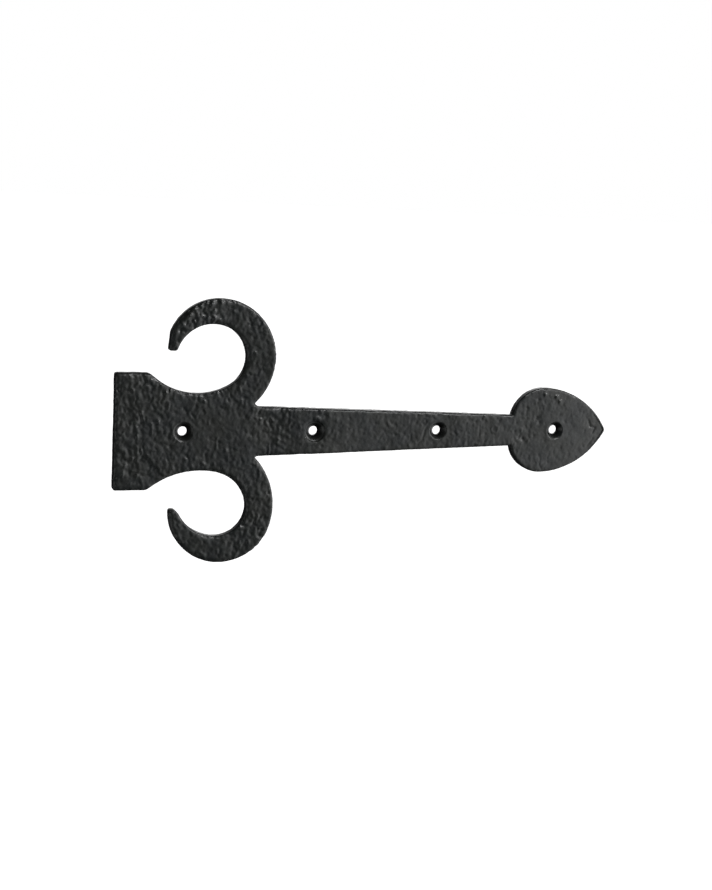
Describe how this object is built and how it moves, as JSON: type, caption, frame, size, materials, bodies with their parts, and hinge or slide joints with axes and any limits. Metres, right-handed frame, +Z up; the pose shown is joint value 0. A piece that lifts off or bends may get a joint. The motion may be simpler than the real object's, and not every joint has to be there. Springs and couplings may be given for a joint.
{
  "type": "strap hinge front",
  "caption": "Flat cast iron hinge front with a straight butt end, two scrolls, a tapered strap, a leaf-shaped point and countersunk screw holes.",
  "frame": {"origin": "axis of the first screw hole, the one nearest the straight butt end, where it meets the back face", "axes": "+X along the strap toward the leaf's point, +Z up across the strap, -Y out of the decorative face"},
  "size_m": [0.3006, 0.005, 0.15],
  "materials": {
    "black_iron": "satin black coating over a rough cast skin with worn lighter edges"
  },
  "bodies": {
    "root": {"hinge_front": "black_iron"}
  },
  "joints": []
}
